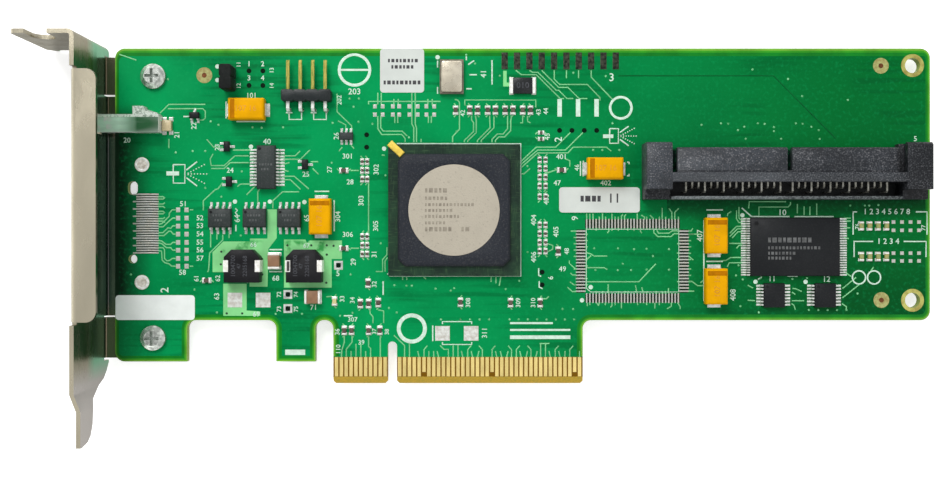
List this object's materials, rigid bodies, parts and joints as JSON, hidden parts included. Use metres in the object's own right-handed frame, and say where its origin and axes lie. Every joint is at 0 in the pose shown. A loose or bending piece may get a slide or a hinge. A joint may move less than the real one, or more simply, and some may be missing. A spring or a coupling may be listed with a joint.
{
  "type": "raid controller card",
  "caption": "Low-profile storage controller card with edge contacts, folded bracket, square controller chip and a right-angle drive port.",
  "frame": {"origin": "middle of the key notch on the insertion edge, at half the board's thickness", "axes": "+X along the board away from the bracket, +Y from the insertion edge to the top edge, +Z out of the component side"},
  "size_m": [0.1826, 0.0802, 0.0184],
  "materials": {
    "solder_mask": "green solder mask over glass laminate",
    "gold_plate": "gold-plated copper",
    "bare_copper": "tinned copper ring, dull",
    "solder": "bare solder",
    "bracket_steel": "bright nickel-plated sheet steel",
    "screw_steel": "zinc-plated steel",
    "clear_plastic": "clear moulded plastic",
    "lamp_resin": "translucent resin",
    "package_laminate": "dark green package laminate",
    "mould_compound": "black mould compound",
    "slug_metal": "matt pale metal",
    "port_plastic": "textured black plastic",
    "tinned_contact": "tinned copper alloy",
    "tinned_lead": "tinned copper leads",
    "tantalum_resin": "orange moulded resin",
    "ferrite": "black ferrite",
    "resistor_coat": "black resistor coating",
    "ceramic_brown": "brown ceramic",
    "chip_part_brown": "brown and dark ceramic",
    "oscillator_ceramic": "dark ceramic",
    "oscillator_metal": "tan matt metal",
    "header_plastic": "black header plastic",
    "label_paper": "white label stock"
  },
  "bodies": {
    "root": {"circuit_board": "solder_mask", "edge_contacts_component_side": "gold_plate", "edge_contacts_solder_side": "gold_plate", "mounting_hole_rings": "bare_copper", "solder_plugs": "solder", "bracket": "bracket_steel", "bracket_screws": "screw_steel", "light_pipe": "clear_plastic", "indicator_lamp": "lamp_resin", "indicator_terminals": "solder", "controller_substrate": "package_laminate", "controller_balls": "solder", "controller_mould": "mould_compound", "controller_heat_slug": "slug_metal", "drive_port_housing": "port_plastic", "drive_port_contacts": "tinned_contact", "drive_port_hold_downs": "tinned_contact", "flash_chip_body": "mould_compound", "flash_chip_leads": "tinned_lead", "driver_chip_body": "mould_compound", "driver_chip_leads": "tinned_lead", "logic_chip_bodies": "mould_compound", "logic_chip_leads": "tinned_lead", "regulator_bodies": "mould_compound", "regulator_leads": "tinned_lead", "switch_chip_body": "mould_compound", "switch_chip_leads": "tinned_lead", "transistor_bodies": "mould_compound", "transistor_leads": "tinned_lead", "tantalum_bodies": "tantalum_resin", "tantalum_terminals": "tinned_lead", "inductor_bodies": "ferrite", "inductor_terminals": "tinned_lead", "sense_resistor_body": "resistor_coat", "sense_resistor_ends": "tinned_lead", "ceramic_bodies": "ceramic_brown", "ceramic_end_caps": "tinned_lead", "chip_part_bodies": "chip_part_brown", "chip_part_end_caps": "tinned_lead", "status_lamp_lenses": "lamp_resin", "status_lamp_ends": "tinned_lead", "bare_power_pads": "solder", "oscillator_base": "oscillator_ceramic", "oscillator_can": "oscillator_metal", "led_header_body": "header_plastic", "led_header_pins": "gold_plate", "jumper_base": "header_plastic", "jumper_cap": "header_plastic", "jumper_pins": "gold_plate", "square_label": "label_paper", "port_label": "label_paper", "serial_label": "label_paper"}
  },
  "joints": []
}
